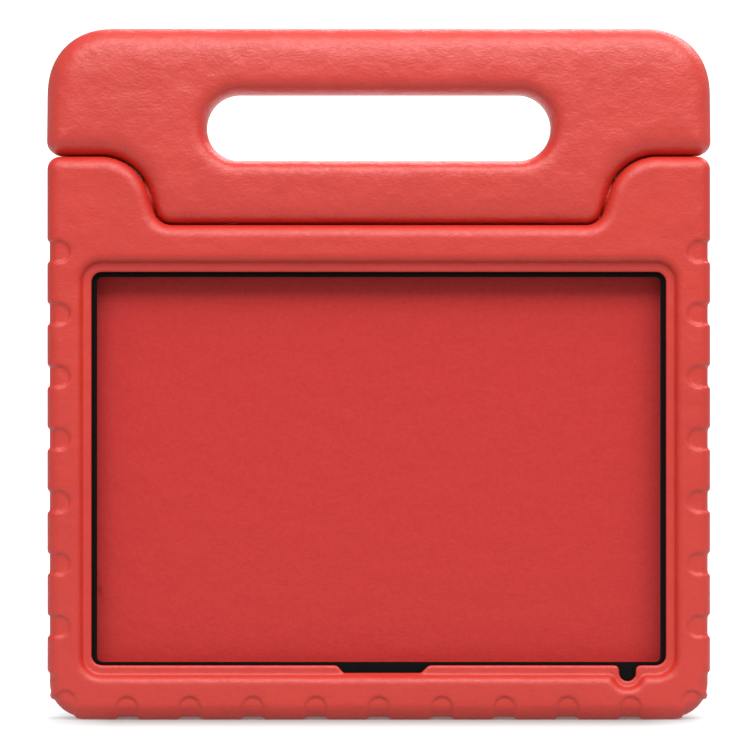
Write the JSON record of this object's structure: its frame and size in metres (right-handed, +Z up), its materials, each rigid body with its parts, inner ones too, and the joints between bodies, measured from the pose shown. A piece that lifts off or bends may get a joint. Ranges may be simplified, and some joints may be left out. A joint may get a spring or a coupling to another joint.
{
  "type": "tablet case with carrying handle",
  "caption": "Thick foam bumper case for a tablet: framed front opening, finger-grip edges and a carrying handle that folds back as a stand.",
  "frame": {"origin": "middle of the case's underside, with the case upright on its bottom edge", "axes": "+Z up towards the handle's top, +Y towards the rear, +X to the right as seen from the front; the screen opening faces -Y"},
  "size_m": [0.283, 0.028, 0.2938],
  "materials": {
    "body_foam": "moulded foam with a fine leather-like skin",
    "handle_foam": "moulded foam with a fine leather-like skin",
    "liner_black": "matte black sheet",
    "cap_plastic": "satin red",
    "core_plastic": "natural moulded",
    "socket_plastic": "matte black",
    "washer_nylon": "natural",
    "bolt_steel": "zinc plated",
    "insert_brass": "as turned"
  },
  "bodies": {
    "case_body": {"body_shell": "body_foam", "liner_frame": "liner_black", "hinge_socket_left": "socket_plastic", "hinge_socket_right": "socket_plastic", "hinge_cap_left": "cap_plastic", "hinge_cap_right": "cap_plastic", "friction_washer_left": "washer_nylon", "friction_washer_right": "washer_nylon"},
    "handle": {"handle_grip": "handle_foam", "handle_core": "core_plastic", "hinge_bolt_left": "bolt_steel", "hinge_bolt_right": "bolt_steel", "spring_washer_left": "bolt_steel", "spring_washer_right": "bolt_steel", "threaded_insert_left": "insert_brass", "threaded_insert_right": "insert_brass"}
  },
  "joints": [
    {"name": "handle_fold", "type": "hinge", "parent": "case_body", "child": "handle", "pos_m": [0, 0.003, 0.222], "axis": [-1, 0, 0], "range_deg": [0, 120]}
  ]
}
